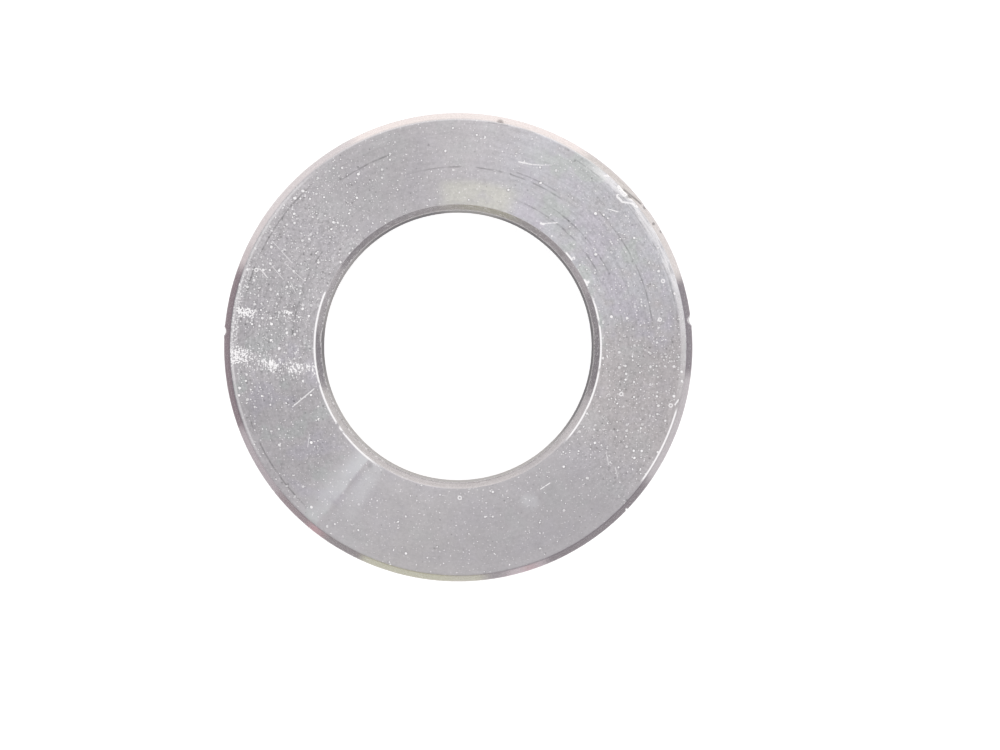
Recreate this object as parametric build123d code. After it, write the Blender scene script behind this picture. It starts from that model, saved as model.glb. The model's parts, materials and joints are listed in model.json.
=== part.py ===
from build123d import *
import os
from math import atan2, degrees

# Shim ring: a plain spacer ring for a 20 mm shaft, turned from bright steel bar in one piece,
# faced flat on both sides, bored through and chamfered on all four edges.
# Millimetres. The origin is the centre of the lower face and +Z runs up the bore.

OUTER_DIAMETER = 35.0
BORE_DIAMETER = 20.3
THICKNESS = 4.0
RIM_CHAMFER = 0.5  # each way, at 45 degrees, on the two outer edges
BORE_CHAMFER = 0.45  # each way, at 45 degrees, on the two edges of the bore

# Nicks knocked into the upper edge of the rim in handling. "around" is in degrees from +X towards +Y,
# "width" is measured along the rim and "depth" inwards from it.
RIM_NICKS = [
    {"around": 6.7, "width": 0.60, "depth": 0.22},
    {"around": 176.0, "width": 0.60, "depth": 0.10},
    {"around": 316.0, "width": 0.22, "depth": 0.11},
]
NICK_REACH = 1.2  # how far below the chamfer a nick has run out to nothing


def ring_section():
    """The wall cut through on one side: a rectangle with its four corners broken by the chamfers."""
    wall = (OUTER_DIAMETER - BORE_DIAMETER) / 2
    section = Pos(BORE_DIAMETER / 2 + wall / 2, THICKNESS / 2) * Rectangle(wall, THICKNESS)
    section = chamfer(section.vertices().group_by(Axis.X)[-1], RIM_CHAMFER)
    section = chamfer(section.vertices().group_by(Axis.X)[0], BORE_CHAMFER)
    return Plane.XZ * section


def rim_nick(around, width, depth):
    """A leaning round scoop that cuts deepest where the rim meets its upper chamfer."""
    scoop_radius = (width**2 / 4 + depth**2) / (2 * depth)
    lean = degrees(atan2(depth, NICK_REACH))
    deepest = Pos(OUTER_DIAMETER / 2 - depth + scoop_radius, 0, THICKNESS - RIM_CHAMFER)
    return Rot(Z=around) * deepest * Rot(Y=-lean) * Cylinder(scoop_radius, 4 * NICK_REACH)


def shim_ring():
    ring = revolve(ring_section(), Axis.Z)
    for nick in RIM_NICKS:
        ring -= rim_nick(**nick)
    return ring


os.makedirs("parts", exist_ok=True)
export_step(shim_ring(), "parts/shim_ring.step")
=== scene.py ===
import json
import math

import bpy
from mathutils import Matrix, Vector


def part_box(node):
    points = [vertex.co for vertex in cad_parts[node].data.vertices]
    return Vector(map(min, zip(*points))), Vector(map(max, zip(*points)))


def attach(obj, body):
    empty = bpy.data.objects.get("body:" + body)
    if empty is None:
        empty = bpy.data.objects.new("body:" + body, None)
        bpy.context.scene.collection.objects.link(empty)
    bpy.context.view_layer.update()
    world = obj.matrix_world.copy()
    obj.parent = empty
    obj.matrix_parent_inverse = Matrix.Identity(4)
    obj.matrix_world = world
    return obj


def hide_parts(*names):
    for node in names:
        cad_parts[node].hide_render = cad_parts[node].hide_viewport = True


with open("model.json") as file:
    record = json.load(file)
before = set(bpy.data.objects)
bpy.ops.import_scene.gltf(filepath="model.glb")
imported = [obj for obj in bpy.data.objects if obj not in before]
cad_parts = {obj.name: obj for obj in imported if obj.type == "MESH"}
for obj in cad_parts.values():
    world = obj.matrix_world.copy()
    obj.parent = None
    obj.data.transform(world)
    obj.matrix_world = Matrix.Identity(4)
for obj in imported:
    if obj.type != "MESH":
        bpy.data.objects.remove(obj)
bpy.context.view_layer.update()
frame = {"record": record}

MM = 0.001

# ---------------------------------------------------------------------------------------------------------
# The ring. One piece of bright steel bar, turned on the outside, bored, faced flat on both sides and parted
# off, with a tool run over each of its four edges at 45 degrees. It has been handled since: its rim is
# nicked and dented, its faces are dusty and lightly scratched, and a film of old oil tints them.
# ---------------------------------------------------------------------------------------------------------

ring_low, ring_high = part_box("shim_ring")
bore = next(mount for mount in frame["record"]["mounts"] if mount["name"] == "bore")
RIM_RADIUS = ring_high[0]
BORE_RADIUS = bore["dims"]["r_mm"] * MM
THICKNESS = ring_high[2]
BORE_CHAMFER = (THICKNESS - bore["dims"]["length_mm"] * MM) / 2
RIM_CHAMFER = 0.5 * MM
EDGE_ROUND = 0.09 * MM

# How far off the rim's centre the bore was cut, along X and along Y.
BORE_ASIDE = (-0.054 * MM, 0.076 * MM)

# Nicks knocked into the upper edge of the rim: degrees round from +X, width along the rim, depth inwards,
# and how far the metal beside each one was pushed out.
RIM_NICKS = [(6.7, 0.60, 0.22, 0.02), (176.0, 0.60, 0.10, 0.05), (316.0, 0.22, 0.11, 0.02)]
NICK_REACH = 1.2 * MM

# Dents knocked into the rim's upper edge and its chamfer: degrees round, radius, size and depth.
EDGE_DENTS = [(41.4, 17.00, 0.24, 0.070), (43.6, 16.90, 0.30, 0.045), (37.0, 17.40, 0.20, 0.070),
              (32.4, 17.22, 0.16, 0.060), (29.8, 17.42, 0.15, 0.050), (79.5, 17.02, 0.34, 0.020)]

# Lines where the facing tool dug in a little deeper: radius, the middle and half the length of each in
# degrees round the ring, and depth.
TOOL_LINES = [(16.46, 34.0, 32.0, 0.008), (14.56, 24.0, 24.0, 0.005), (13.44, 78.0, 28.0, 0.008),
              (13.72, 65.0, 9.0, 0.005), (11.78, 47.0, 22.0, 0.008), (12.50, 42.0, 16.0, 0.005),
              (15.20, 117.0, 9.0, 0.005), (12.38, 160.0, 22.0, 0.005), (16.29, 148.0, 20.0, 0.006),
              (16.40, 212.0, 16.0, 0.005)]

# The burr turned up along the edge of the bore, which stands only here and there: the middle and half the
# length of each stretch, in degrees round the ring.
BURR_RADIUS = BORE_RADIUS + BORE_CHAMFER + 0.05 * MM
BURR_STRETCHES = [(195.0, 39.0), (350.0, 30.0), (27.0, 1.5), (39.5, 2.0)]


class Wire:
    """The output of a node, in any node tree, which adds and multiplies like a number."""

    def __init__(self, socket):
        self.socket = socket

    @classmethod
    def node(cls, tree, kind, settings=None, inputs=None, output=0):
        """Adds a node: its settings first, then a value or a wire for each input that is named."""
        made = tree.nodes.new(kind)
        for name, value in (settings or {}).items():
            setattr(made, name, value)
        for name, value in (inputs or {}).items():
            if isinstance(value, Wire):
                tree.links.new(value.socket, made.inputs[name])
            else:
                made.inputs[name].default_value = value
        return cls(made.outputs[output])

    def other(self, output):
        """Another output of the same node."""
        return Wire(self.socket.node.outputs[output])

    def math(self, operation, *values):
        """A Math node on this and other values."""
        return Wire.node(self.socket.id_data, "ShaderNodeMath", {"operation": operation},
                         dict(enumerate((self, *values))))

    def __add__(self, value):
        return self.math("ADD", value)

    def __sub__(self, value):
        return self.math("SUBTRACT", value)

    def __mul__(self, value):
        return self.math("MULTIPLY", value)

    def __truediv__(self, value):
        return self.math("DIVIDE", value)

    def __neg__(self):
        return self * -1.0

    def __abs__(self):
        return self.math("ABSOLUTE")

    def __rsub__(self, value):
        return (-self) + value

    __radd__ = __add__
    __rmul__ = __mul__

    def ease(self, low, high, start=0.0, end=1.0):
        """start where this is at or below low, end at or above high, and a smooth rise between them."""
        span = {"Value": self, "From Min": low, "From Max": high, "To Min": start, "To Max": end}
        return Wire.node(self.socket.id_data, "ShaderNodeMapRange",
                         {"interpolation_type": "SMOOTHSTEP"}, span)


def most_of(wires):
    """The largest of the wires that are made one after another, so that few are waiting at any time."""
    largest = None
    for wire in wires:
        largest = wire if largest is None else largest.math("MAXIMUM", wire)
    return largest


def most(*wires):
    """The largest of several wires, point by point."""
    return most_of(wires)


def add_inputs(tree, inputs):
    """Named inputs for a geometry tree, with their values, after its mesh input, and a wire for each."""
    tree.interface.new_socket("Geometry", in_out="INPUT", socket_type="NodeSocketGeometry")
    for name, value in inputs.items():
        kind = "NodeSocketInt" if isinstance(value, int) else "NodeSocketFloat"
        tree.interface.new_socket(name, in_out="INPUT", socket_type=kind).default_value = value
    start = tree.nodes.new("NodeGroupInput")
    return {name: Wire(start.outputs[name]) for name in inputs}


def capture(tree, geometry, kind, field):
    """Keeps a field's value on each point, so that it can still be read once the shape has changed."""
    keeper = tree.nodes.new("GeometryNodeCaptureAttribute")
    keeper.capture_items.new(kind, "kept")
    tree.links.new(geometry.socket, keeper.inputs[0])
    tree.links.new(field.socket, keeper.inputs[1])
    return Wire(keeper.outputs[0]), Wire(keeper.outputs[1])


def ring_tree(materials):
    """The ring's section swept round its axis, with the marks that turning and handling left on it."""
    tree = bpy.data.node_groups.new("turned_ring", "GeometryNodeTree")
    size = add_inputs(tree, {
        "Rim Radius": RIM_RADIUS, "Bore Radius": BORE_RADIUS, "Thickness": THICKNESS,
        "Rim Chamfer": RIM_CHAMFER, "Bore Chamfer": BORE_CHAMFER, "Edge Round": EDGE_ROUND,
        "Steps Around": 720, "Face Step": 0.11 * MM, "Feed Mark Depth": 0.004 * MM,
        "Wear Depth": 0.012 * MM, "Burr Height": 0.015 * MM, "Nick Reach": NICK_REACH,
        "Bore Aside X": BORE_ASIDE[0], "Bore Aside Y": BORE_ASIDE[1],
    })

    def new(kind, settings=None, inputs=None, output=0):
        return Wire.node(tree, kind, settings, inputs, output)

    def xyz(vector):
        split = new("ShaderNodeSeparateXYZ", inputs={"Vector": vector})
        return split, split.other("Y"), split.other("Z")

    def noise(x, y, z, detail):
        place = new("ShaderNodeCombineXYZ", inputs={"X": x, "Y": y, "Z": z})
        return new("ShaderNodeTexNoise", inputs={"Vector": place, "Scale": 1.0, "Detail": detail}) - 0.5

    def fillet(curve, steps, radius):
        return new("GeometryNodeFilletCurve", {"mode": "POLY"},
                   {"Curve": curve, "Count": steps, "Radius": radius})

    # The section: a rectangle, its corners cut off by the chamfers and its eight edges then barely rounded.
    wall = size["Rim Radius"] - size["Bore Radius"]
    middle = (size["Rim Radius"] + size["Bore Radius"]) / 2.0
    section = new("GeometryNodeCurvePrimitiveQuadrilateral",
                  inputs={"Width": wall, "Height": size["Thickness"]})
    lift = new("ShaderNodeCombineXYZ", inputs={"X": middle, "Y": size["Thickness"] / 2.0})
    section = new("GeometryNodeSetPosition", inputs={"Geometry": section, "Offset": lift})
    across, up, _ = xyz(new("GeometryNodeInputPosition"))
    outer = across.math("GREATER_THAN", middle)
    section = fillet(section, 1, size["Rim Chamfer"] * outer + size["Bore Chamfer"] * (1 - outer))
    section = fillet(section, 2, size["Edge Round"])

    # Cuts along it: even ones on the upper face, where the tool's lines are, and fewer ones elsewhere.
    here = new("GeometryNodeInputPosition")
    index = new("GeometryNodeInputIndex")
    after = new("GeometryNodeOffsetPointInCurve",
                inputs={"Point Index": index, "Offset": 1}, output="Point Index")
    there = new("GeometryNodeFieldAtIndex", {"data_type": "FLOAT_VECTOR"}, {"Value": here, "Index": after})
    run = new("ShaderNodeVectorMath", {"operation": "DISTANCE"}, {0: here, 1: there}, output="Value")
    near_top = size["Thickness"] * 0.999
    upper_face = up.math("GREATER_THAN", near_top) * xyz(there)[1].math("GREATER_THAN", near_top)
    elsewhere = (run / MM).math("SQRT") * 5.0
    cuts = (upper_face * run / size["Face Step"] + (1 - upper_face) * elsewhere).math("FLOOR")
    section = new("GeometryNodeSubdivideCurve", inputs={"Curve": section, "Cuts": cuts})
    section, on_section = capture(tree, section, "VECTOR", new("GeometryNodeInputPosition"))

    # The path: a circle, with its points drawn together where the nicks and dents are.
    turn = new("GeometryNodeInputIndex") / size["Steps Around"] * (2 * math.pi)
    around = turn
    crowds = [(degrees, 3.0, 0.7) for degrees, *_ in RIM_NICKS] + [(38.0, 9.0, 0.5)]
    for degrees, reach, strength in crowds:
        away = (turn - math.radians(degrees)).math("WRAP", math.pi, -math.pi)
        closeness = (-(away / math.radians(reach)).math("POWER", 2.0)).math("EXPONENT")
        around = around - away * closeness * strength
    path = new("GeometryNodeCurvePrimitiveCircle",
               inputs={"Resolution": size["Steps Around"], "Radius": size["Rim Radius"]})
    path, angle = capture(tree, path, "FLOAT", around)
    ring = new("GeometryNodeCurveToMesh", inputs={"Curve": path, "Profile Curve": section})

    def away_from(degrees):
        return (angle - math.radians(degrees)).math("WRAP", math.pi, -math.pi)

    def stretch(middle, half):
        return abs(away_from(middle)).ease(math.radians(half * 0.8), math.radians(half * 1.1), 1.0, 0.0)

    # The tools' marks and the wear, as a change of height and of radius.
    radius, height, _ = xyz(on_section)
    side = (height - size["Thickness"] / 2.0).math("SIGN")
    upper = side.math("GREATER_THAN", 0.0)
    face_depth = size["Thickness"] / 2.0 - abs(height - size["Thickness"] / 2.0)
    on_face = 1 - face_depth.math("GREATER_THAN", 0.002 * MM)
    cosine, sine = angle.math("COSINE"), angle.math("SINE")
    feed = noise(radius / MM * 3.4, cosine * 0.6 + side * 7.0, sine * 0.6, 2.0)
    raised = on_face * side * feed * size["Feed Mark Depth"]
    for line_radius, line_middle, line_half, depth in TOOL_LINES:
        line = abs(radius / MM - line_radius).ease(0.0, 0.14, 1.0, 0.0) * stretch(line_middle, line_half)
        raised = raised - line * on_face * upper * (depth * MM)
    on_edge = abs(radius - BURR_RADIUS).ease(0.04 * MM, 0.10 * MM, 1.0, 0.0)
    on_edge = on_edge * height.ease(THICKNESS - 0.08 * MM, THICKNESS - 0.02 * MM)
    standing = most_of(stretch(*burr) for burr in BURR_STRETCHES)
    ragged = noise(cosine * 40.0, sine * 40.0, 0.0, 2.0).ease(-0.2, 0.2)
    raised = raised + on_edge * standing * ragged * size["Burr Height"]
    worn = noise(cosine * 16.0, sine * 16.0, height / MM * 1.5 + radius / MM, 3.0)
    widened = worn * (1 - on_face) * size["Wear Depth"]

    # The dents, which drive the edge down and in, and the nicks, each the bite of a round-nosed blow.
    for degrees, dent_radius, dent_size, depth in EDGE_DENTS:
        along = away_from(degrees) * (dent_radius * MM)
        off = along.math("POWER", 2.0) + (radius - dent_radius * MM).math("POWER", 2.0)
        dent = (off / -((dent_size * MM) ** 2)).math("EXPONENT") * upper * (depth * MM)
        raised = raised - dent
        widened = widened - dent * (1 - on_face)
    for degrees, width, depth, lip in RIM_NICKS:
        scoop = (width**2 / 4 + depth**2) / (2 * depth) * MM
        along = away_from(degrees) * radius
        below = size["Thickness"] - size["Rim Chamfer"] - height
        centre = size["Rim Radius"] - depth * MM + scoop + below * (depth * MM) / size["Nick Reach"]
        half_chord = (scoop**2 - along.math("POWER", 2.0)).math("MAXIMUM", 0.0).math("SQRT")
        inside = abs(along).math("LESS_THAN", scoop)
        bite = (radius - (centre - half_chord)).math("MAXIMUM", 0.0) * inside
        pushed = abs(along).ease(width * 0.5 * MM, width * 0.95 * MM, 1.0, 0.0)
        pushed = pushed * abs(below).ease(0.0, 0.35 * MM, 1.0, 0.0) * (lip * MM)
        widened = widened - bite + pushed * bite.math("LESS_THAN", 0.001 * MM)

    # The bore was cut a hair off the rim's centre, so the section is carried aside towards it.
    spread = radius + widened
    inwards = (size["Rim Radius"] - radius) / wall
    place = new("ShaderNodeCombineXYZ", inputs={"X": spread * cosine + inwards * size["Bore Aside X"],
                                                "Y": spread * sine + inwards * size["Bore Aside Y"],
                                                "Z": height + raised})
    ring = new("GeometryNodeSetPosition", inputs={"Geometry": ring, "Position": place})
    ring = new("GeometryNodeSetShadeSmooth", {"domain": "FACE"}, {"Geometry": ring, "Shade Smooth": True})
    ring = new("GeometryNodeRealizeInstances", inputs={"Geometry": ring})

    # The cut at each place goes by which way the steel faces there: flat, sloping or upright.
    facing = abs(xyz(new("GeometryNodeInputNormal"))[2])
    least_flat = 0.92
    least_sloping = 0.35
    zones = [("face", None), ("chamfer", facing.math("LESS_THAN", least_flat)),
             ("wall", facing.math("LESS_THAN", least_sloping))]
    for name, selection in zones:
        chosen = {"Selection": selection} if selection else {}
        ring = new("GeometryNodeSetMaterial",
                   inputs={"Geometry": ring, "Material": materials[name], **chosen})
    tree.interface.new_socket("Geometry", in_out="OUTPUT", socket_type="NodeSocketGeometry")
    finish = tree.nodes.new("NodeGroupOutput")
    tree.links.new(ring.socket, finish.inputs[0])
    return tree


class Spot:
    """Where a point of the ring is, in millimetres and in degrees round the axis from +X to +Y."""

    def __init__(self, tree):
        self.tree = tree
        place = Wire.node(tree, "ShaderNodeTexCoord", output="Object")
        self.at = self.vector("SCALE", place, Scale=1 / MM)
        self.x = Wire.node(tree, "ShaderNodeSeparateXYZ", inputs={"Vector": self.at})
        self.y, self.z = self.x.other("Y"), self.x.other("Z")
        self.radius = (self.x * self.x + self.y * self.y).math("SQRT")
        bore_middle = Vector((*BORE_ASIDE, 0.0)) / MM
        self.bored = self.vector("DISTANCE", self.combine(self.x, self.y), bore_middle, output="Value")
        self.cosine, self.sine = self.x / self.radius, self.y / self.radius
        self.degrees = self.y.math("ARCTAN2", self.x) * (180 / math.pi)
        self.upper = self.z.math("GREATER_THAN", THICKNESS / MM / 2)
        self.inner = self.radius.math("LESS_THAN", (RIM_RADIUS + BORE_RADIUS) / MM / 2)

    def vector(self, operation, *values, output=0, **named):
        """A Vector Math node on vectors."""
        return Wire.node(self.tree, "ShaderNodeVectorMath", {"operation": operation},
                         {**dict(enumerate(values)), **named}, output)

    def combine(self, x, y, z=0.0):
        return Wire.node(self.tree, "ShaderNodeCombineXYZ", inputs={"X": x, "Y": y, "Z": z})

    def noise(self, vector, detail=2.0, roughness=0.5):
        """Noise from -0.5 to 0.5, with features about one unit of the vector apart."""
        inputs = {"Vector": vector, "Scale": 1.0, "Detail": detail, "Roughness": roughness}
        return Wire.node(self.tree, "ShaderNodeTexNoise", inputs=inputs) - 0.5

    def even(self, per_mm, shift=0.0):
        """A vector for marks that are as long as they are wide."""
        return self.combine(self.x * per_mm + shift, self.y * per_mm, self.z * per_mm)

    def turned(self, across, along, shift=0.0):
        """A vector for marks drawn out round the axis: how many to the millimetre, across and along."""
        reach = along * (RIM_RADIUS + BORE_RADIUS) / MM / 2
        return self.combine((self.radius - self.z) * across + shift, self.cosine * reach, self.sine * reach)

    def away(self, degrees):
        """Degrees round the ring from a direction, either way."""
        return abs((self.degrees - degrees).math("WRAP", 180.0, -180.0))

    def sector(self, middle, half, soft):
        """1 within half a width of a direction round the ring, and 0 beyond its soft edge."""
        return self.away(middle).ease(half, half + soft, 1.0, 0.0)

    def band(self, middle, half, soft):
        """1 within half a width of a radius, and 0 beyond its soft edge."""
        return abs(self.radius - middle).ease(half, half + soft, 1.0, 0.0)

    def place(self, degrees, radius):
        """A point of the ring, seen along its axis, from degrees round it and a radius."""
        turn = math.radians(degrees)
        return Vector((radius * math.cos(turn), radius * math.sin(turn), 0.0))

    def off(self, degrees, radius):
        """Millimetres from a point of the ring, seen along its axis."""
        return self.vector("DISTANCE", self.combine(self.x, self.y), self.place(degrees, radius),
                           output="Value")

    def blot(self, degrees, radius, size):
        """A soft round spot of about one size across, in millimetres."""
        return self.off(degrees, radius).ease(size * 0.25, size * 0.65, 1.0, 0.0)

    def scratch(self, start, end, width):
        """A straight scratch between two places, each given as degrees round the ring and a radius."""
        first, last = self.place(*start), self.place(*end)
        run = last - first
        gone = self.vector("SUBTRACT", self.combine(self.x, self.y), first)
        share = self.vector("DOT_PRODUCT", gone, run, output="Value") / run.length_squared
        share = share.math("MAXIMUM", 0.0).math("MINIMUM", 1.0)
        nearest = self.vector("SCALE", run, Scale=share)
        gap = self.vector("DISTANCE", gone, nearest, output="Value")
        return gap.ease(width * 0.2, width * 0.7, 1.0, 0.0)

    def grains(self, per_mm, share, smallest, largest):
        """Grains in some of a scatter's cells, between two radii in millimetres and each of its own tone,
        and a painted shadow in a ring round each of them."""
        wobble = self.noise(self.even(8.0), detail=1.0) * 0.09
        shaken = self.combine((self.x + self.z * 7.3 + wobble) * per_mm, (self.y - wobble) * per_mm)
        cells = Wire.node(self.tree, "ShaderNodeTexVoronoi", {"voronoi_dimensions": "2D"},
                          {"Vector": shaken, "Scale": 1.0})
        chance = Wire.node(self.tree, "ShaderNodeSeparateColor", inputs={"Color": cells.other("Color")})
        spare = (chance + share - 1.0).math("MAXIMUM", 0.0) / share
        radius = spare * (largest - smallest) + smallest
        inside = radius - cells / per_mm
        there = spare.math("GREATER_THAN", 0.0)
        tone = chance.other("Green") * 0.75 + 0.25
        return inside.ease(-0.02, 0.02) * there * tone, inside.ease(-0.08, -0.01) * there * tone


def blend(factor, one, other):
    """A colour between two, each a wire or a colour."""
    first, second = (end if isinstance(end, Wire) else (*end, 1.0) for end in (one, other))
    return Wire.node(factor.socket.id_data, "ShaderNodeMix", {"data_type": "RGBA"},
                     {0: factor, 6: first, 7: second}, output=2)


def brighten(colour, amount):
    """A colour made lighter or darker by a share of itself."""
    tree = colour.socket.id_data
    return Wire.node(tree, "ShaderNodeVectorMath", {"operation": "SCALE"},
                     {0: colour, "Scale": amount + 1.0})


def steel(name, anisotropic):
    """A bare steel material, its surface node and a Spot in its tree. The grain runs round the axis."""
    material = bpy.data.materials.new(name)
    material.use_nodes = True
    surface = material.node_tree.nodes["Principled BSDF"]
    surface.inputs["Metallic"].default_value = 1.0
    surface.inputs["Anisotropic"].default_value = anisotropic
    surface.inputs["Anisotropic Rotation"].default_value = 0.25
    return material, surface, Spot(material.node_tree)


def connect(surface, wires, bump_height):
    """Links a surface's varying inputs, and its bump from a height in millimetres."""
    tree = surface.id_data
    bump = Wire.node(tree, "ShaderNodeBump", inputs={"Height": bump_height, "Distance": MM})
    for name, wire in {**wires, "Normal": bump}.items():
        tree.links.new(wire.socket, surface.inputs[name])


# The faces' colours: the clean steel, the tints that old oil gives it, the tints of painted light and
# reflection, and the white of dust, scratches and painted glints.
CLEAN_FACE = (0.500, 0.480, 0.498)
WARM_OIL = (0.496, 0.468, 0.475)
BLUISH_SHEEN = (0.502, 0.497, 0.528)
PURPLE_OIL = (0.500, 0.478, 0.525)
GREEN_OIL = (0.492, 0.504, 0.505)
YELLOW_LIGHT = (0.543, 0.532, 0.505)
SHEEN_PALE = (0.685, 0.690, 0.710)
WHITE_MARKS_AND_GLINTS = (0.97, 0.95, 0.96)


def faced_steel():
    """The two flat faces: fine lines left by the facing tool, with oil, dust and scratches on them, and
    painted highlights, sheen and shade in their colour.
    """
    material, surface, spot = steel("faced_steel", 0.9)

    # The tool's lines over a fine uneven grain, both coarser on one side of the face than on the other
    rings = spot.noise(spot.turned(3.2, 0.06), detail=3.0)
    streaks = spot.noise(spot.turned(6.5, 0.7, 40.0), detail=2.0, roughness=0.6)
    grain = spot.noise(spot.even(4.6), detail=2.0, roughness=0.7)
    mottle = spot.noise(spot.even(0.9, 11.0), detail=3.0)
    coarse = most(spot.sector(18.0, 26.0, 40.0) * 0.95, spot.sector(95.0, 60.0, 30.0) * 0.6,
                  spot.sector(162.0, 22.0, 24.0) * 1.15, spot.sector(208.0, 10.0, 16.0) * 0.8,
                  spot.sector(342.0, 20.0, 20.0) * 0.95, 0.45)
    lined = most(spot.sector(42.0, 28.0, 20.0), spot.sector(180.0, 14.0, 16.0)) * 0.7 + 0.5
    broken = spot.noise(spot.turned(2.0, 0.9, 9.0), detail=2.0)
    # Painted shade along stretches of the deeper tool lines
    groove_shade = 0.0
    for line_radius, middle, half, _ in TOOL_LINES:
        groove_shade = spot.band(line_radius, 0.03, 0.05) * spot.sector(middle, half * 0.6, half * 0.5) + groove_shade
    groove_shade = groove_shade * broken.ease(-0.14, 0.04) * spot.upper

    # Old oil: purple and green over one quarter and warm beside it. Painted light: a bluish sheen over that
    # quarter, a yellowish light patch by the bore, a pale band of sheen across the face and a light patch,
    # and sectors lighter or darker as the light falls
    film = spot.noise(spot.even(0.42, 31.0), detail=2.0)
    oiled = most(spot.sector(35.0, 26.0, 16.0), spot.sector(205.0, 22.0, 14.0) * 0.7, 0.2)
    purple = film.ease(0.01, 0.12) * oiled * spot.radius.ease(15.8, 16.4, 1.0, 0.0)
    green = film.ease(-0.13, -0.05, 1.0, 0.0) * oiled
    # Painted reflection: a bluish sheen over this quarter, across from the painted band of sheen
    bluish_sheen = spot.sector(42.0, 22.0, 26.0) * mottle.ease(-0.35, 0.1)
    warm = spot.sector(354.0, 16.0, 22.0)
    # Painted light: a soft yellowish patch of light by the bore
    yellow_light_patch = spot.sector(83.0, 9.0, 8.0) * spot.band(11.2, 0.8, 0.8) * mottle.ease(-0.4, 0.0)
    # Painted reflection: a pale band of sheen straight across the face, with a narrow one beside it
    before = (231.7 - spot.degrees.math("WRAP", 360.0, 0.0)) + mottle * 1.6
    sheen_band = before.ease(0.0, 1.1) * before.ease(2.0, 9.0, 1.0, 0.0) * (spot.radius * -0.11 + 2.3)
    sheen_band = sheen_band + spot.sector(235.8, 1.2, 3.0) * 0.45 * spot.radius.ease(12.0, 16.0, 1.0, 0.3)
    sheen_band = sheen_band * spot.radius.ease(16.6, 17.0, 1.0, 0.0) * (mottle * 1.2 + 0.9)
    # Painted light: a soft light patch on the face
    light_patch = spot.blot(294.5, 12.7, 1.4) * mottle.ease(-0.3, 0.2)
    painted_sheen = (most(sheen_band, light_patch * 0.5) * spot.upper).math("MINIMUM", 1.0)
    # Painted light and shade: sectors of the face lighter or darker as the light falls, lighter towards the
    # bore and the rim
    tone = spot.sector(50.0, 36.0, 24.0) * 0.06 - spot.sector(207.0, 9.0, 11.0) * 0.10
    tone = tone - spot.sector(112.0, 8.0, 12.0) * 0.05 - spot.sector(285.0, 25.0, 20.0) * 0.03
    tone = tone + spot.band(10.9, 0.3, 1.2) * 0.05 + spot.band(16.8, 0.2, 0.5) * 0.04

    # Dust, thickest on one side and in loose clumps, with a painted shadow round each grain, pits that hold
    # grime, some crusts and dried drops
    crowd = spot.sector(158.0, 20.0, 26.0) * 1.8 + spot.sector(345.0, 14.0, 20.0) * 0.9
    crowd = crowd + spot.sector(205.0, 12.0, 12.0) * 0.25 + spot.sector(15.0, 20.0, 16.0) * 0.35 + 0.22
    clumps = spot.noise(spot.even(0.7, 71.0)) * 3.6 + 0.95
    crowd = (crowd * clumps).math("MAXIMUM", 0.03)
    dust, grain_shade_and_pits = spot.grains(1.7, crowd * 0.42, 0.040, 0.110)
    fine_dust, fine_grain_shade = spot.grains(3.2, crowd * 0.36, 0.026, 0.062)
    pits, _ = spot.grains(2.3, crowd * 0.30, 0.030, 0.085)
    grain_shade_and_pits = most(grain_shade_and_pits, fine_grain_shade * 0.6, pits) * spot.upper
    dust = most(dust, fine_dust * 0.9)
    specks = spot.noise(spot.even(7.5, 5.0), detail=1.0)
    # Crusts, with painted glints: bright specks drawn out in radial streaks where the turned lines catch the
    # light
    crusts_and_glints = most(spot.sector(170.6, 0.5, 1.6) * spot.band(16.0, 0.35, 0.6),
                 spot.sector(168.4, 0.2, 1.1) * spot.band(12.95, 0.2, 0.35),
                 spot.sector(170.6, 0.2, 1.6) * spot.band(14.0, 2.4, 0.6) * 0.35,
                 spot.sector(182.2, 1.2, 1.9) * spot.band(16.3, 0.4, 0.7) * 0.9)
    crusts_and_glints = (specks + crusts_and_glints * 0.25).ease(0.17, 0.27)
    drops = most_of(abs(spot.off(*at) - 0.12).ease(0.02, 0.06, 1.0, 0.0) for at in (
        (18.0, 16.02), (7.9, 15.14), (344.0, 12.62), (344.7, 16.40), (270.4, 11.20), (159.0, 16.1)))

    # Painted glints: a band of short bright dashes across the face where its lines catch the light, and
    # highlights painted along the rim's edge, which is partly worn light too
    dashes = spot.noise(spot.turned(8.5, 2.4), detail=1.0)
    lean = (spot.degrees + (spot.radius - 13.8) * 1.15).math("WRAP", 360.0, 0.0)
    glint_band = (abs(lean - 185.4) + broken * 5.0).ease(0.6, 4.4, 1.0, 0.0)
    glint_band = (dashes * 0.55 + specks * 0.55 + glint_band * (mottle * 0.5 + 0.20)).ease(0.17, 0.30)
    # Painted highlights along the rim's edge, where it is also partly worn light
    rim_glint_line = spot.sector(334.0, 9.0, 2.0) * spot.band(16.90, 0.04, 0.05)
    rim_wear_and_glint = most(
        spot.sector(33.0, 16.0, 8.0) * spot.band(16.85, 0.10, 0.50) * streaks.ease(-0.22, 0.10),
        spot.sector(88.0, 30.0, 16.0) * spot.band(17.0, 0.02, 0.12) * 0.7,
        rim_glint_line * 1.6,
        spot.sector(3.0, 14.0, 5.0) * spot.band(16.82, 0.16, 0.12) * (spot.degrees * 0.02 + 0.45),
        spot.sector(170.0, 34.0, 8.0) * spot.band(16.85, 0.02, 0.12) * 0.55,
        spot.sector(172.0, 8.0, 6.0) * spot.band(16.75, 0.15, 0.25) * specks.ease(0.02, 0.12) * 1.3,
    )
    # The burr along the bore's edge: its bright metal, with a painted highlight where it catches the light
    standing = most_of(spot.sector(middle, half * 0.9, half * 0.2) for middle, half in BURR_STRETCHES)
    burr = abs(spot.bored - BURR_RADIUS / MM).ease(0.060, 0.110, 1.0, 0.0)
    burr = burr * standing * broken.ease(-0.20, -0.08)

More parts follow.
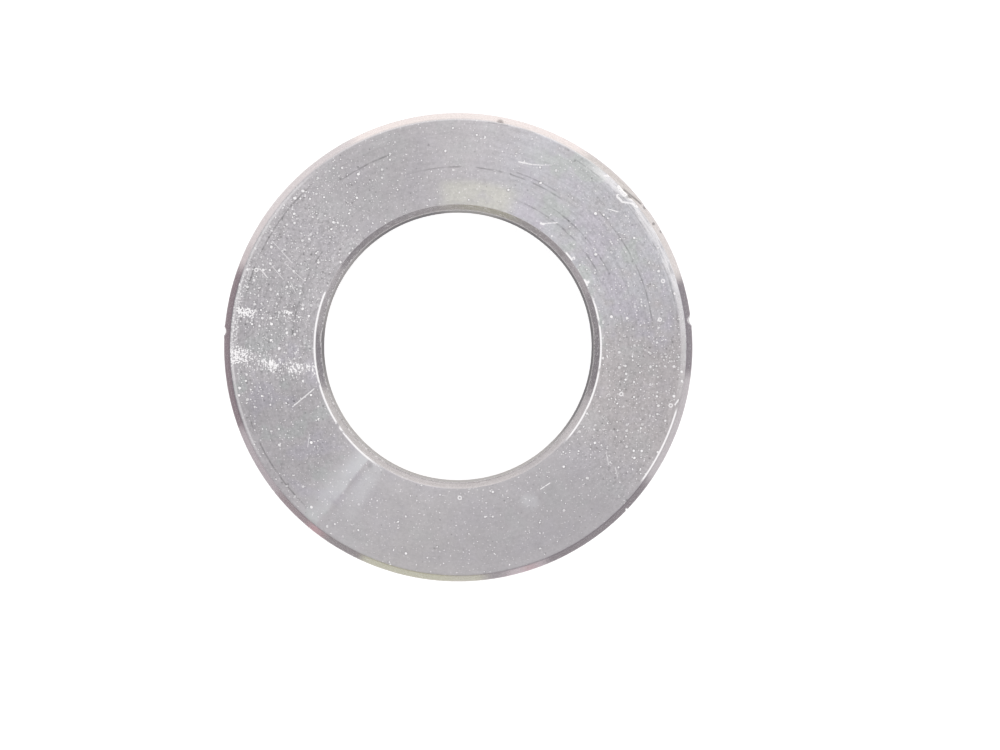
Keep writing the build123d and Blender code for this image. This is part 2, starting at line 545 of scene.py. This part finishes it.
    # Scratches, and the bruise on the rim: both ends of each mark, its width and how white it is
    marks = [
        ((196.0, 11.20), (199.6, 13.10), 0.10, 0.7), ((210.2, 12.85), (213.4, 13.45), 0.07, 0.45),
        ((63.1, 15.24), (65.4, 14.92), 0.06, 0.5), ((65.4, 14.92), (68.4, 14.66), 0.08, 0.7),
        ((68.4, 14.66), (72.0, 14.53), 0.11, 0.9), ((42.8, 15.18), (40.4, 15.59), 0.08, 0.9),
        ((51.7, 11.84), (56.0, 11.12), 0.09, 0.8), ((56.4, 11.10), (55.4, 11.16), 0.18, 1.0),
        ((300.0, 12.20), (304.0, 12.18), 0.08, 0.8), ((49.6, 16.80), (48.8, 16.98), 0.20, 1.0),
        ((43.5, 16.31), (41.6, 16.33), 0.20, 0.9), ((41.6, 16.33), (39.7, 16.80), 0.16, 0.9),
        ((39.7, 16.80), (38.2, 16.93), 0.22, 1.0), ((45.0, 16.90), (42.6, 16.80), 0.42, 1.0),
        ((346.6, 16.85), (345.2, 16.70), 0.12, 0.9), ((150.3, 15.91), (153.0, 13.91), 0.07, 0.45),
        ((154.2, 14.29), (156.6, 12.50), 0.07, 0.40), ((156.0, 15.35), (158.7, 14.00), 0.07, 0.45),
        ((158.4, 15.87), (159.9, 15.12), 0.09, 0.65), ((159.0, 13.35), (161.4, 12.80), 0.07, 0.50),
        ((322.0, 14.20), (324.6, 13.50), 0.08, 0.45), ((320.8, 15.30), (322.6, 14.70), 0.07, 0.40),
    ]
    scratches = most_of(spot.scratch(*ends, width) * white for *ends, width, white in marks)
    scratches = scratches * specks.ease(-0.30, -0.04)
    bruise = most(spot.blot(43.6, 16.40, 0.30), spot.blot(37.8, 10.86, 0.25), spot.blot(26.9, 10.80, 0.30),
                  spot.blot(50.0, 10.82, 0.16))
    scratches = most(scratches, bruise * specks.ease(-0.16, 0.0))
    # Painted shade in a thin line where the face meets the chamfer, joined with two dark stains
    edge_shade = most(spot.sector(72.3, 1.7, 0.6) * spot.band(16.97, 0.04, 0.05),
                spot.sector(80.0, 2.3, 0.8) * spot.band(16.93, 0.04, 0.07)) * specks.ease(-0.3, 0.0) * 0.7
    stain_and_shade = most(spot.blot(233.3, 10.98, 0.42) * 0.6,
                 spot.scratch((42.4, 16.62), (41.2, 16.95), 0.16), edge_shade) * spot.upper

    # White marks and painted glints together: dust, crusts, scratches, the burr and the rim
    white_marks_and_glints = most(dust, crusts_and_glints, glint_band, scratches, burr, rim_wear_and_glint * 0.6, drops * 0.8) * spot.upper
    white_marks_and_glints = most(white_marks_and_glints, dust * 0.8)
    colour = blend(warm, CLEAN_FACE, WARM_OIL)
    colour = blend(bluish_sheen, colour, BLUISH_SHEEN)
    colour = blend(purple, colour, PURPLE_OIL)
    colour = blend(green, colour, GREEN_OIL)
    colour = blend(yellow_light_patch, colour, YELLOW_LIGHT)
    ripple = rings * (spot.sector(90.0, 70.0, 40.0) * 0.10 + 0.10)
    ripple = ripple + streaks * lined * coarse * 0.42 + grain * coarse * 0.85
    colour = brighten(colour, tone + ripple + mottle * 0.16 - groove_shade * 0.30 - stain_and_shade * 0.4 - grain_shade_and_pits * 0.34)
    colour = blend(painted_sheen * 0.85, colour, SHEEN_PALE)
    colour = blend(white_marks_and_glints, colour, WHITE_MARKS_AND_GLINTS)
    height = rings * 0.006 + streaks * 0.003 + grain * 0.002
    roughness = rings * 0.08 + grain * 0.14 - white_marks_and_glints * 0.22 + 0.34
    connect(surface, {"Base Color": colour, "Roughness": roughness, "Metallic": 1.0 - dust * 0.25}, height)
    return material


DULL_CHAMFER = (0.590, 0.566, 0.575)
BRIGHT_CHAMFER = (0.620, 0.600, 0.607)
CHAMFER_DUST = (0.94, 0.92, 0.92)


def chamfered_steel():
    """The four chamfers: a smoother cut than the faces, with lines closer together and a few small pits,
    painted shade in the dents, a painted highlight by the bore and the bore's chamfers painted a little
    darker.
    """
    material, surface, spot = steel("chamfered_steel", 0.9)
    rings = spot.noise(spot.turned(9.0, 0.15, 3.0), detail=2.0)
    grain = spot.noise(spot.even(5.0), detail=2.0, roughness=0.6)
    dust, _ = spot.grains(2.6, spot.sector(60.0, 60.0, 40.0) * 0.2 + 0.06, 0.03, 0.06)
    pits = spot.noise(spot.even(2.2, 31.0), detail=2.0).ease(0.27, 0.34)
    # Painted shade in the dents and along a scratch by them
    dent_shade = most_of(spot.blot(degrees, radius, size * 1.6) for degrees, radius, size, _ in EDGE_DENTS)
    dent_shade = most(dent_shade, spot.scratch((43.3, 17.05), (38.3, 17.32), 0.16)) * spot.upper
    # A painted highlight along the bore's edge on one side
    bore_edge_glint = abs(spot.bored - (BORE_RADIUS / MM + 0.05)).ease(0.04, 0.09, 1.0, 0.0)
    bore_edge_glint = bore_edge_glint * spot.sector(187.0, 48.0, 6.0) * grain.ease(-0.05, 0.20) * spot.upper
    colour = blend(grain.ease(-0.3, 0.3), DULL_CHAMFER, BRIGHT_CHAMFER)
    # The bore's chamfers darker by painted shade
    colour = brighten(colour, rings * 0.16 + grain * 0.16 - pits * 0.4 - dent_shade * 0.45 - spot.inner * 0.04)
    white_marks_and_glints = most(dust * 0.8, bore_edge_glint * 0.5)
    colour = blend(white_marks_and_glints, colour, CHAMFER_DUST)
    height = rings * 0.003 + grain * 0.0012 + dust * 0.004 - pits * 0.006
    roughness = rings * 0.08 + grain * 0.08 + dust * 0.2 + bore_edge_glint * 0.2 + 0.2
    connect(surface, {"Base Color": colour, "Roughness": roughness}, height)
    return material


TURNED_RIM = (0.540, 0.520, 0.530)
SHADED_BORE = (0.160, 0.150, 0.158)
LIT_BORE = (0.430, 0.410, 0.400)


def walled_steel():
    """The rim's wall and the bore's: turned and bored, duller, and the bore painted with shade all round and
    with light on the sides where it falls.
    """
    material, surface, spot = steel("turned_steel", 0.85)
    rings = spot.noise(spot.turned(7.0, 0.12, 17.0), detail=3.0)
    grain = spot.noise(spot.even(4.0), detail=3.0, roughness=0.6)
    # Painted light and shade on the bore: lighter on the sides where light falls, dark elsewhere
    lit_sides = most(spot.sector(257.0, 46.0, 36.0), spot.sector(84.0, 6.0, 12.0) * 0.5,
                  spot.sector(152.0, 10.0, 20.0) * 0.6)
    bored = blend(lit_sides, SHADED_BORE, LIT_BORE)
    colour = blend(spot.inner, TURNED_RIM, bored)
    colour = brighten(colour, rings * 0.3 + grain * 0.2)
    height = rings * 0.006 + grain * 0.002
    roughness = rings * 0.15 + grain * 0.1 + spot.inner * 0.16 + 0.34
    connect(surface, {"Base Color": colour, "Roughness": roughness}, height)
    return material


def made_mesh(name, tree):
    """Runs a geometry tree and keeps its result as a plain mesh object, with no modifier left on it."""
    worker = bpy.data.objects.new(name + "_worker", bpy.data.meshes.new(name + "_blank"))
    bpy.context.scene.collection.objects.link(worker)
    worker.modifiers.new("shape", "NODES").node_group = tree
    depsgraph = bpy.context.evaluated_depsgraph_get()
    mesh = bpy.data.meshes.new_from_object(worker.evaluated_get(depsgraph), depsgraph=depsgraph)
    bpy.data.objects.remove(worker)
    piece = bpy.data.objects.new(name, mesh)
    bpy.context.scene.collection.objects.link(piece)
    return piece


finishes = {"face": faced_steel(), "chamfer": chamfered_steel(), "wall": walled_steel()}
ring = made_mesh("turned_ring", ring_tree(finishes))
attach(ring, "root")
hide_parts("shim_ring")

# ---------------------------------------------------------------------------------------------------------
# The floor. A sheet of matt white paper that the ring lies on, lit as paper is, with a glow of its own that
# makes it show plain white to the camera and in the steel. That hides the ring's own faint shadow.
# ---------------------------------------------------------------------------------------------------------
FLOOR_HALF = 0.6
PAPER_GLOW = 0.55

corners = [(-FLOOR_HALF, -FLOOR_HALF, 0), (FLOOR_HALF, -FLOOR_HALF, 0),
           (FLOOR_HALF, FLOOR_HALF, 0), (-FLOOR_HALF, FLOOR_HALF, 0)]
floor_mesh = bpy.data.meshes.new("floor")
floor_mesh.from_pydata(corners, [], [(0, 1, 2, 3)])
floor = bpy.data.objects.new("floor", floor_mesh)
bpy.context.scene.collection.objects.link(floor)

paper = bpy.data.materials.new("white_paper")
paper.use_nodes = True
surface = paper.node_tree.nodes["Principled BSDF"]
surface.inputs["Base Color"].default_value = (0.8, 0.8, 0.8, 1)
surface.inputs["Roughness"].default_value = 1.0
surface.inputs["Specular IOR Level"].default_value = 0.0
seen = Wire.node(paper.node_tree, "ShaderNodeLightPath", output="Is Camera Ray")
seen = most(seen, seen.other("Is Glossy Ray"), seen.other("Is Transmission Ray"))
glow = Wire.node(paper.node_tree, "ShaderNodeEmission", inputs={"Strength": seen * PAPER_GLOW})
both = Wire.node(paper.node_tree, "ShaderNodeAddShader", inputs={0: Wire(surface.outputs[0]), 1: glow})
paper.node_tree.links.new(both.socket, paper.node_tree.nodes["Material Output"].inputs["Surface"])
floor_mesh.materials.append(paper)

# ---------------------------------------------------------------------------------------------------------
# The cards. Strips of card stood in a circle round the ring, some pale and some dark, for its chamfers and
# walls to mirror. Only the steel sees them.
# ---------------------------------------------------------------------------------------------------------
CARD_RADIUS = 26 * MM
CARD_LEVELS = (0.0, 4.8 * MM, 18 * MM)

# From which direction to which, in degrees round the ring, then how bright low down and how bright above.
CARDS = [
    (-6.6, 17.4, (0.46, 0.43, 0.46), (0.42, 0.40, 0.44)),
    (17.4, 40.0, (1.22, 1.17, 1.13), (1.18, 1.16, 1.13)),
    (40.0, 57.0, (1.12, 1.07, 1.02), (1.25, 1.22, 1.18)),
    (57.0, 117.0, (1.58, 1.47, 1.40), (1.22, 1.18, 1.16)),
    (117.0, 146.0, (1.20, 1.14, 1.13), (1.10, 1.07, 1.07)),
    (146.0, 154.0, (1.16, 1.09, 1.08), (1.0, 0.97, 0.97)),
    (154.0, 160.0, (1.0, 0.92, 0.92), (0.9, 0.87, 0.88)),
    (160.0, 200.4, (0.43, 0.350, 0.38), (0.32, 0.30, 0.33)),
    (200.4, 219.0, (0.74, 0.68, 0.71), (0.64, 0.60, 0.63)),
    (219.0, 229.8, (0.54, 0.46, 0.48), (0.45, 0.42, 0.44)),
    (229.8, 234.0, (0.82, 0.57, 0.60), (0.45, 0.42, 0.44)),
    (234.0, 245.4, (0.48, 0.45, 0.46), (0.44, 0.42, 0.42)),
    (245.4, 268.0, (0.90, 0.91, 0.74), (0.56, 0.55, 0.42)),
    (268.0, 276.6, (0.92, 0.92, 0.78), (0.50, 0.48, 0.43)),
    (276.6, 282.0, (0.60, 0.57, 0.59), (0.44, 0.42, 0.44)),
    (282.0, 287.0, (0.96, 0.86, 0.90), (0.42, 0.40, 0.42)),
    (287.0, 289.0, (0.88, 0.64, 0.66), (0.41, 0.40, 0.42)),
    (289.0, 292.2, (0.84, 0.76, 0.80), (0.40, 0.39, 0.41)),
    (292.2, 325.2, (0.43, 0.40, 0.42), (0.37, 0.35, 0.38)),
    (325.2, 353.4, (0.89, 0.86, 0.88), (0.78, 0.76, 0.78)),
]
CARD_STEPS = 360
SOFT_EDGE = 1.2


def card_paint(degrees, level):
    """The cards' colour at a direction, run together a little where two of them meet."""
    total = Vector((0.0, 0.0, 0.0))
    for aside in (-SOFT_EDGE, -SOFT_EDGE / 2, 0.0, SOFT_EDGE / 2, SOFT_EDGE):
        there = (degrees + aside - CARDS[0][0]) % 360.0 + CARDS[0][0]
        total += Vector(next(card[2 + level] for card in CARDS if there < card[1]))
    return (*total / 5, 1.0)


card_points, card_faces, card_colours = [], [], []
for level in range(2):
    for step in range(CARD_STEPS):
        turn = 2 * math.pi * step / CARD_STEPS
        corner = len(card_points)
        following = corner + 2 if step < CARD_STEPS - 1 else corner + 2 - 2 * CARD_STEPS
        card_faces.append((corner, corner + 1, following + 1, following))
        for height in CARD_LEVELS[level:level + 2]:
            card_points.append((CARD_RADIUS * math.cos(turn), CARD_RADIUS * math.sin(turn), height))
            card_colours.append(card_paint(math.degrees(turn), level))

card_mesh = bpy.data.meshes.new("cards")
card_mesh.from_pydata(card_points, [], card_faces)
painted = card_mesh.attributes.new("painted", "FLOAT_COLOR", "POINT")
for point, colour in enumerate(card_colours):
    painted.data[point].color = colour
paint = bpy.data.materials.new("card_paint")
paint.use_nodes = True
shade = Wire.node(paint.node_tree, "ShaderNodeAttribute", {"attribute_name": "painted"})
shine = Wire.node(paint.node_tree, "ShaderNodeEmission", inputs={"Color": shade, "Strength": 1.0})
paint.node_tree.links.new(shine.socket, paint.node_tree.nodes["Material Output"].inputs["Surface"])
card_mesh.materials.append(paint)
cards = bpy.data.objects.new("cards", card_mesh)
cards.visible_camera = cards.visible_diffuse = cards.visible_shadow = False
cards.visible_transmission = cards.visible_volume_scatter = False
bpy.context.scene.collection.objects.link(cards)

# ---------------------------------------------------------------------------------------------------------
# The light. An even white studio all round, and one soft lamp over the far side, which draws a faint sheen
# across the turned faces.
# ---------------------------------------------------------------------------------------------------------
LAMP_DISTANCE = 0.30
LAMP_AROUND = math.radians(72)
LAMP_HEIGHT = math.radians(48)
LAMP_SIZE = 0.09
LAMP_POWER = 0.025

world = bpy.data.worlds.new("studio")
bpy.context.scene.world = world
world.use_nodes = True
world.node_tree.nodes["Background"].inputs["Color"].default_value = (1, 1, 1, 1)
world.node_tree.nodes["Background"].inputs["Strength"].default_value = 1.0

lamp_light = bpy.data.lights.new("soft_lamp", "AREA")
lamp_light.size = LAMP_SIZE
lamp_light.energy = LAMP_POWER
lamp = bpy.data.objects.new("soft_lamp", lamp_light)
towards_lamp = Vector((math.cos(LAMP_HEIGHT) * math.cos(LAMP_AROUND),
                       math.cos(LAMP_HEIGHT) * math.sin(LAMP_AROUND), math.sin(LAMP_HEIGHT)))
lamp.location = towards_lamp * LAMP_DISTANCE
lamp.rotation_euler = towards_lamp.to_track_quat("Z", "Y").to_euler()
bpy.context.scene.collection.objects.link(lamp)

# ---------------------------------------------------------------------------------------------------------
# The camera. It looks straight down the bore from just off its axis, with the ring left of the middle of
# the picture and above it.
# ---------------------------------------------------------------------------------------------------------
CAMERA_HEIGHT = 175 * MM
CAMERA_ASIDE = (0.40 * MM, 0.0 * MM)
PICTURE_MIDDLE = (3.091 * MM, -2.055 * MM)
RING_SHARE = 0.4686
SENSOR = 36.0

camera_data = bpy.data.cameras.new("camera")
camera = bpy.data.objects.new("camera", camera_data)
bpy.context.scene.collection.objects.link(camera)
rim_level = THICKNESS - RIM_CHAMFER
camera.location = (*CAMERA_ASIDE, THICKNESS + CAMERA_HEIGHT)
backwards = (camera.location - Vector((*PICTURE_MIDDLE, rim_level))).normalized()
right = Vector((0, 1, 0)).cross(backwards).normalized()
camera.rotation_euler = Matrix((right, backwards.cross(right), backwards)).transposed().to_euler()
camera_data.sensor_width = SENSOR
camera_data.lens = SENSOR * RING_SHARE * (CAMERA_HEIGHT + RIM_CHAMFER) / (2 * RIM_RADIUS)
bpy.context.scene.camera = camera

bpy.context.scene.view_settings.view_transform = "Standard"
